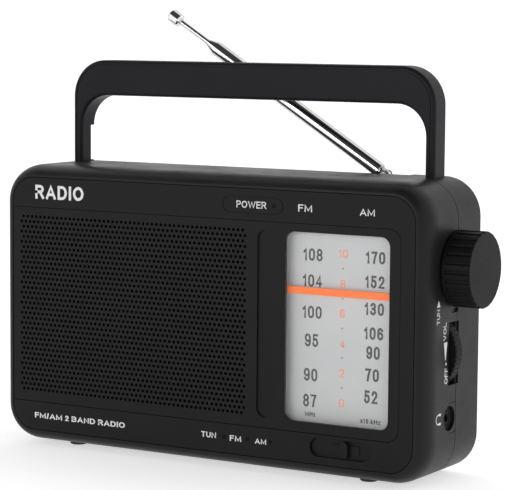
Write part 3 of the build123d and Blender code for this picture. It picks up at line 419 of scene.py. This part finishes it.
def make_floor():
    """Pale sheet that lies flat under the radio and runs out to the horizon."""
    mesh = bmesh.new()
    centre = mesh.verts.new((0, 0, 0))
    rim = []
    for i in range(FLOOR_SIDES):
        angle = 2 * math.pi * i / FLOOR_SIDES
        place = (FLOOR_RADIUS * math.cos(angle), FLOOR_RADIUS * math.sin(angle), 0)
        rim.append(mesh.verts.new(place))
    for i in range(FLOOR_SIDES):
        mesh.faces.new((centre, rim[i], rim[(i + 1) % FLOOR_SIDES]))
    paper = new_material("studio_paper", {
        "Base Color": FLOOR_PAPER, "Roughness": 0.9, "Specular IOR Level": 0.0,
        "Emission Color": WHITE, "Emission Strength": FLOOR_GLOW})[0]
    floor = add_object("floor", mesh, paper)


def area_light(name, place, target, size, power):
    """Rectangular light that faces its target."""
    data = bpy.data.lights.new(name, "AREA")
    data.shape = "RECTANGLE"
    data.size, data.size_y = size
    data.energy = power
    light = bpy.data.objects.new(name, data)
    light.location = place
    aim = Vector(target) - Vector(place)
    light.rotation_euler = aim.to_track_quat("-Z", "Y").to_euler()
    scene.collection.objects.link(light)


def make_lights():
    """White tent with a dark flag overhead in front, and two boxes: in front and right rear."""
    world = bpy.data.worlds.new("studio")
    world.use_nodes = True
    scene.world = world
    net = world.node_tree
    place = add(net, "ShaderNodeTexCoord")
    toward = add(net, "ShaderNodeVectorMath", {1: Vector(FLAG_MIDDLE).normalized()},
                 operation="DOT_PRODUCT")
    net.links.new(place.outputs["Generated"], toward.inputs[0])
    flag = add(net, "ShaderNodeMapRange",
               {"From Min": FLAG_OUTER, "From Max": FLAG_INNER,
                "To Min": WORLD_BRIGHT, "To Max": WORLD_DARK},
               interpolation_type="SMOOTHSTEP")
    net.links.new(toward.outputs["Value"], flag.inputs["Value"])
    backdrop = net.nodes["Background"]
    backdrop.inputs["Color"].default_value = WHITE
    net.links.new(flag.outputs["Result"], backdrop.inputs["Strength"])
    for light in LIGHTS:
        area_light(*light)


# ------------------------------------------------------------------ lettering
def arc(cx, cy, rx, ry, start, end, steps=10):
    """Points along an elliptical arc, angles in degrees, steps counted over half a turn."""
    count = max(2, int(abs(end - start) / 180 * steps) + 1)
    turn = [math.radians(start + (end - start) * i / (count - 1)) for i in range(count)]
    return [(cx + rx * math.cos(t), cy + ry * math.sin(t)) for t in turn]


def loop(cx, cy, rx, ry):
    """All the way round an oval, for a closed stroke."""
    return arc(cx, cy, rx, ry, 0, LAST_OF_ROUND)


# Each letter is its width over its height, then its strokes along their centre lines in a unit
# box. A stroke that starts with None is closed.
LETTERS = {
    "0": (0.56, [[None, *arc(0.5, 0.7, 0.5, 0.3, 0, 180), *arc(0.5, 0.3, 0.5, 0.3, 180, 360)]]),
    "1": (0.36, [[(0.0, 0.76), (0.35, 0.84), (0.8, 1.0), (0.8, 0.0)]]),
    "2": (0.55, [[*arc(0.5, 0.72, 0.48, 0.28, 170, -35), (0.0, 0.0), (1.0, 0.0)]]),
    "3": (0.55, [[*arc(0.48, 0.755, 0.45, 0.245, 160, -90), (0.36, 0.51)],
                 [(0.36, 0.51), *arc(0.48, 0.255, 0.5, 0.255, 90, -162)]]),
    "4": (0.58, [[(0.74, 0.0), (0.74, 1.0), (0.0, 0.26), (1.0, 0.26)]]),
    "5": (0.55, [[(0.9, 1.0), (0.14, 1.0), (0.06, 0.5), *arc(0.48, 0.32, 0.5, 0.32, 135, -160)]]),
    "6": (0.56, [[None, *loop(0.5, 0.3, 0.5, 0.3)],
                 [(0.0, 0.32), (0.0, 0.62), *arc(0.5, 0.7, 0.5, 0.3, 180, 28)]]),
    "7": (0.54, [[(0.0, 1.0), (1.0, 1.0), (0.62, 0.55), (0.4, 0.0)]]),
    "8": (0.56, [[None, *loop(0.5, 0.755, 0.44, 0.245)], [None, *loop(0.5, 0.26, 0.5, 0.26)]]),
    "9": (0.56, [[None, *loop(0.5, 0.7, 0.5, 0.3)],
                 [(1.0, 0.68), (1.0, 0.38), *arc(0.5, 0.3, 0.5, 0.3, 0, -152)]]),
    "A": (0.86, [[(0.0, 0.0), (0.5, 1.0), (1.0, 0.0)], [(0.2, 0.3), (0.8, 0.3)]]),
    "B": (0.76, [[(0.0, 0.0), (0.0, 1.0), *arc(0.55, 0.77, 0.38, 0.23, 90, -90), (0.0, 0.54)],
                 [(0.3, 0.54), *arc(0.58, 0.27, 0.42, 0.27, 90, -90), (0.0, 0.0)]]),
    "D": (0.8, [[None, (0.0, 0.0), (0.0, 1.0), *arc(0.45, 0.5, 0.55, 0.5, 90, -90)]]),
    "E": (0.68, [[(1.0, 1.0), (0.0, 1.0), (0.0, 0.0), (1.0, 0.0)], [(0.0, 0.52), (0.9, 0.52)]]),
    "F": (0.64, [[(1.0, 1.0), (0.0, 1.0), (0.0, 0.0)], [(0.0, 0.52), (0.85, 0.52)]]),
    "H": (0.76, [[(0.0, 0.0), (0.0, 1.0)], [(1.0, 0.0), (1.0, 1.0)], [(0.0, 0.52), (1.0, 0.52)]]),
    "I": (0.2, [[(0.5, 0.0), (0.5, 1.0)]]),
    "L": (0.66, [[(0.0, 1.0), (0.0, 0.0), (1.0, 0.0)]]),
    "M": (0.94, [[(0.0, 0.0), (0.0, 1.0), (0.5, 0.12), (1.0, 1.0), (1.0, 0.0)]]),
    "N": (0.78, [[(0.0, 0.0), (0.0, 1.0), (1.0, 0.0), (1.0, 1.0)]]),
    "O": (0.9, [[None, *loop(0.5, 0.5, 0.5, 0.5)]]),
    "P": (0.7, [[(0.0, 0.0), (0.0, 1.0), *arc(0.58, 0.74, 0.42, 0.26, 90, -90), (0.0, 0.48)]]),
    "R": (0.76, [[(0.0, 0.0), (0.0, 1.0), *arc(0.56, 0.75, 0.4, 0.25, 90, -90), (0.0, 0.5)],
                 [(0.52, 0.5), (1.0, 0.0)]]),
    "T": (0.72, [[(0.0, 1.0), (1.0, 1.0)], [(0.5, 1.0), (0.5, 0.0)]]),
    "U": (0.76, [[(0.0, 1.0), *arc(0.5, 0.4, 0.5, 0.4, 180, 360), (1.0, 1.0)]]),
    "V": (0.8, [[(0.0, 1.0), (0.5, 0.0), (1.0, 1.0)]]),
    "W": (1.2, [[(0.0, 1.0), (0.25, 0.0), (0.5, 0.94), (0.75, 0.0), (1.0, 1.0)]]),
    "k": (0.56, [[(0.0, 0.0), (0.0, 1.0)], [(0.9, 0.7), (0.05, 0.3)], [(0.34, 0.44), (1.0, 0.0)]]),
    "x": (0.54, [[(0.0, 0.7), (1.0, 0.0)], [(0.0, 0.0), (1.0, 0.7)]]),
    "z": (0.5, [[(0.05, 0.7), (1.0, 0.7), (0.0, 0.0), (1.0, 0.0)]]),
    "/": (0.34, [[(0.0, -0.04), (1.0, 1.04)]]),
}

# The headphone sign: a headband with an ear pad at each end, each with its stroke's weight.
HEADPHONES = (
    (arc(0.5, 0.42, 0.42, 0.52, 205, -25, 12), 0.09),
    ([(0.11, 0.12), (0.11, 0.34)], 0.2),
    ([(0.89, 0.12), (0.89, 0.34)], 0.2),
)


def ribbon(points, closed, weight):
    """Left and right edges of a stroke, mitred at its corners and squared off at its ends."""
    line = [Vector(p) for p in points]
    if not closed:
        line[0] = line[0] + (line[0] - line[1]).normalized() * weight / 2
        line[-1] = line[-1] + (line[-1] - line[-2]).normalized() * weight / 2
    left, right = [], []
    count = len(line)
    for i in range(count):
        before = line[i] - line[i - 1] if closed or i else line[1] - line[0]
        after = line[(i + 1) % count] - line[i] if closed or i < count - 1 else before
        before.normalize()
        after.normalize()
        across = Vector((-before.y, before.x)) + Vector((-after.y, after.x))
        across.normalize()
        cosine = across.dot(Vector((-after.y, after.x)))
        reach = min(MITRE_LIMIT, 1 / max(MITRE_LEAST_COSINE, cosine))
        left.append(line[i] + across * weight / 2 * reach)
        right.append(line[i] - across * weight / 2 * reach)
    return left, right


def solid_strip(left, right, closed, low, high):
    """Prism between two edges: (points, faces)."""
    count = len(left)
    points = []
    for z in (low, high):
        points += [Vector((p.x, p.y, z)) for p in left] + [Vector((p.x, p.y, z)) for p in right]
    faces = []
    for i in range(count if closed else count - 1):
        j = (i + 1) % count
        faces.append((2 * count + i, 3 * count + i, 3 * count + j, 2 * count + j))
        faces.append((i, j, count + j, count + i))
        faces.append((i, 2 * count + i, 2 * count + j, j))
        faces.append((count + i, count + j, 3 * count + j, 3 * count + i))
    if not closed:
        for i in (0, count - 1):
            faces.append((i, count + i, 3 * count + i, 2 * count + i))
    return points, faces


def corners_of(points):
    """Low and high corner of the box round some points, seen flat."""
    return ([min(p[i] for p in points) for i in range(2)],
            [max(p[i] for p in points) for i in range(2)])


# A shape is (points, faces, low corner, high corner); its height is 1 or a little more.
def stroke_shape(strokes):
    """Shape made of (line, closed, weight) strokes, one thin prism each."""
    points, faces = [], []
    for layer, (line, closed, weight) in enumerate(strokes):
        left, right = ribbon(line, closed, weight)
        # strokes that cross stand at slightly different heights, so their tops never coincide
        top = 1.0 + LAYER_STEP * (layer % LAYER_COUNT)
        more, quads = solid_strip(left, right, closed, 0.0, top)
        faces += [tuple(i + len(points) for i in quad) for quad in quads]
        points += more
    return points, faces, *corners_of(points)


def glyphs(text, weight, spacing):
    """Shape of a word."""
    lines = []
    pen = 0.0
    for letter in text:
        if letter == " ":
            pen += WORD_GAP
            continue
        width, strokes = LETTERS[letter]
        if letter == "I":
            width = weight
        for stroke in strokes:
            closed = stroke[0] is None
            line = [(pen + weight / 2 + x * (width - weight), weight / 2 + y * (1 - weight))
                    for x, y in (stroke[1:] if closed else stroke)]
            lines.append((line, closed, weight))
        pen += width + spacing
    return stroke_shape(lines)


def prism(corners):
    """Shape over a convex outline."""
    count = len(corners)
    points = [Vector((x, y, z)) for z in (0.0, 1.0) for x, y in corners]
    faces = [tuple(reversed(range(count))), tuple(range(count, 2 * count))]
    for i in range(count):
        j = (i + 1) % count
        faces.append((i, j, count + j, count + i))
    return points, faces, *corners_of(corners)


# ------------------------------------------------------------------ print
def front_map(y):
    """Print laid on a face that looks forward at depth y: u is X, v is Z."""
    return lambda u, v, t: Vector((u * MM, (y - t) * MM, v * MM))


def side_map(x):
    """Print on the right wall that reads upward: u is Z, v is -Y."""
    return lambda u, v, t: Vector(((x + t) * MM, -v * MM, u * MM))


def print_piece(name, shapes, place, mat, body):
    """Joins shapes into one thin layer of ink. Each is (shape, u0, u1, v0, v1), its box in mm."""
    mesh = bmesh.new()
    for (points, faces, low, high), u0, u1, v0, v1 in shapes:
        made = []
        for p in points:
            u = u0 + (p.x - low[0]) / (high[0] - low[0]) * (u1 - u0)
            v = v0 + (p.y - low[1]) / (high[1] - low[1]) * (v1 - v0)
            made.append(mesh.verts.new(place(u, v, INK_THICK * p.z)))
        for face in faces:
            mesh.faces.new([made[i] for i in face])
    bmesh.ops.recalc_face_normals(mesh, faces=mesh.faces)
    obj = add_object(name, mesh, mat)
    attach(obj, body)


def word(text, u_mid, v_mid, width, height, weight=STROKE_WEIGHT, spacing=LETTER_GAP):
    """A word with its box, given by its middle and its size."""
    return (glyphs(text, weight, spacing), u_mid - width / 2, u_mid + width / 2,
            v_mid - height / 2, v_mid + height / 2)


def dot(u, v, radius):
    """A round dot with its box."""
    disc = prism(loop(0, 0, 1, 1))
    return (disc, u - radius, u + radius, v - radius, v + radius)


def column(numbers, widths, height, weight):
    """Dial numbers, each as wide as its count of digits asks for."""
    return [word(text, x, z, widths[len(text)], height, weight) for text, x, z in numbers]


# Words: text, middle and size of its box in mm, then weight and letter gap where they differ.
FACE_WORDS = (
    ("POWER", 26.0, 124.5, 16.0, 3.4, 0.15),
    ("FM", 54.3, 124.4, 7.2, 3.4, 0.15),
    ("AM", 86.0, 124.05, 7.6, 3.3, 0.15),
    ("TUN", 3.6, 15.45, 8.2, 2.9),
    ("FM", 18.3, 15.2, 6.2, 2.8),
    ("AM", 31.85, 15.2, 6.1, 2.7),
    ("FM/AM 2 BAND RADIO", -70.4, 15.0, 53.4, 3.0, 0.2, 0.12),
    ("RADIO", -82.2, 124.95, 28.6, 7.4, 0.2, 0.16),
)
# Dial numbers: text and middle in mm.
FM_NUMBERS = (("108", 55.5, 103.0), ("104", 55.3, 91.1), ("100", 55.3, 76.7),
              ("95", 55.2, 63.6), ("90", 54.9, 47.7), ("87", 54.7, 35.7))
AM_NUMBERS = (("170", 87.5, 103.5), ("152", 87.3, 92.6), ("130", 87.2, 80.4),
              ("106", 87.1, 69.3), ("90", 86.9, 60.4), ("70", 86.6, 50.2), ("52", 86.0, 40.2))
LOG_X = 71.1
LOG_NUMBERS = (("10", LOG_X, 104.3), ("8", LOG_X, 90.4), ("6", LOG_X, 77.0),
               ("4", LOG_X, 63.2), ("2", LOG_X, 49.8), ("0", LOG_X, 36.1))
LOG_DOTS = (97.5, 83.9, 70.3, 56.8, 43.1)
LOG_DOT_RADIUS = 0.5
# Outlines of the side print's two pointed signs, in a unit box.
ARROW = ((0, 0), (1, 0.5), (0, 1))
WEDGE = ((0, 0.42), (1, 0), (1, 1), (0, 0.58))


def make_print():
    white = ink("label_white", (0.62, 0.63, 0.64), (0.74, 0.75, 0.76))
    grey = ink("dial_grey", (0.024, 0.024, 0.025), (0.036, 0.036, 0.038))
    orange = ink("dial_orange", (0.86, 0.25, 0.09), (0.95, 0.32, 0.13))
    brown = ink("dial_brown", (0.42, 0.16, 0.10), (0.50, 0.20, 0.13))

    face = front_map(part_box("faceplate")[0].y / MM)
    print_piece("face_print", [word(*entry) for entry in FACE_WORDS], face, white, ROOT)

    card = front_map(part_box("dial_scale")[0].y / MM)
    print_piece("dial_numbers", [
        *column(FM_NUMBERS, {3: 10.2, 2: 7.1}, height=6.0, weight=0.17),
        *column(AM_NUMBERS, {3: 10.0, 2: 7.0}, height=6.0, weight=0.19),
        word("MHz", 55.0, 29.6, 5.4, 2.3, 0.24),
        word("x10 kHz", 86.0, 29.1, 10.4, 2.4, 0.22),
    ], card, grey, ROOT)
    centre = column(LOG_NUMBERS, {2: 4.9, 1: 2.6}, height=3.9, weight=0.13)
    print_piece("dial_log_scale", centre, card, orange, ROOT)
    dots = [dot(LOG_X, z, LOG_DOT_RADIUS) for z in LOG_DOTS]
    print_piece("dial_log_dots", dots, card, brown, ROOT)

    sign = stroke_shape([(line, False, weight) for line, weight in HEADPHONES])
    print_piece("side_print", [
        word("TUN", 78.0, 16.0, 6.8, 3.2, 0.14),
        (prism(ARROW), 82.4, 85.4, 14.3, 17.5),
        word("VOL", 70.7, 9.2, 8.2, 3.0, 0.15),
        (prism(WEDGE), 57.7, 65.8, 6.6, 10.0),
        dot(56.0, 7.6, 0.6),
        word("OFF", 50.5, 7.4, 7.3, 3.0, 0.15),
        (sign, 29.0, 34.2, 12.0, 17.0),
    ], side_map(SIDE_WALL), white, ROOT)


# ------------------------------------------------------------------ band switch's knob
def slab(mesh, outline, y_front, y_back):
    """Prism over an outline in X and Z, in mm, between two depths."""
    count = len(outline)
    front, back = [[mesh.verts.new((x * MM, y * MM, z * MM)) for x, z in outline]
                   for y in (y_front, y_back)]
    mesh.faces.new(front)
    mesh.faces.new(list(reversed(back)))
    for i in range(count):
        j = (i + 1) % count
        mesh.faces.new((front[i], back[i], back[j], front[j]))


def make_slider(mat):
    """Band switch's knob: an upright rounded post on a thin plate that hides the slot."""
    low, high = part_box("band_slider")
    x_mid = (low.x + high.x) / 2 / MM
    z_mid = (low.z + high.z) / 2 / MM
    front = low.y / MM
    floor_y = front + POST_RISE
    mesh = bmesh.new()
    post = []
    for z, start in ((z_mid + POST_HALF_HEIGHT - POST_HALF_WIDTH, 0),
                     (z_mid - POST_HALF_HEIGHT + POST_HALF_WIDTH, 180)):
        post += arc(x_mid, z, POST_HALF_WIDTH, POST_HALF_WIDTH, start, start + 180, POST_ARC_STEPS)
    slab(mesh, post, front + CLEARANCE, floor_y)
    plate = [(x_mid + side * PLATE_HALF_WIDTH, z_mid + rise * PLATE_HALF_HEIGHT)
             for side, rise in ((-1, -1), (1, -1), (1, 1), (-1, 1))]
    slab(mesh, plate, floor_y - PLATE_RISE, floor_y - CLEARANCE)
    bmesh.ops.recalc_face_normals(mesh, faces=mesh.faces)
    knob = add_object("band_knob", mesh, mat)
    round_off = knob.modifiers.new("rounded_edges", "BEVEL")
    round_off.width = EDGE_RADIUS * MM
    round_off.segments = EDGE_SEGMENTS
    round_off.limit_method = "ANGLE"
    round_off.angle_limit = math.radians(EDGE_ANGLE)
    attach(knob, "band")
    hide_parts("band_slider")


make_camera()
make_floor()
make_lights()
paint_everything()
make_slider(bpy.data.materials["face_plastic"])
make_print()
scene.view_settings.view_transform = "Standard"
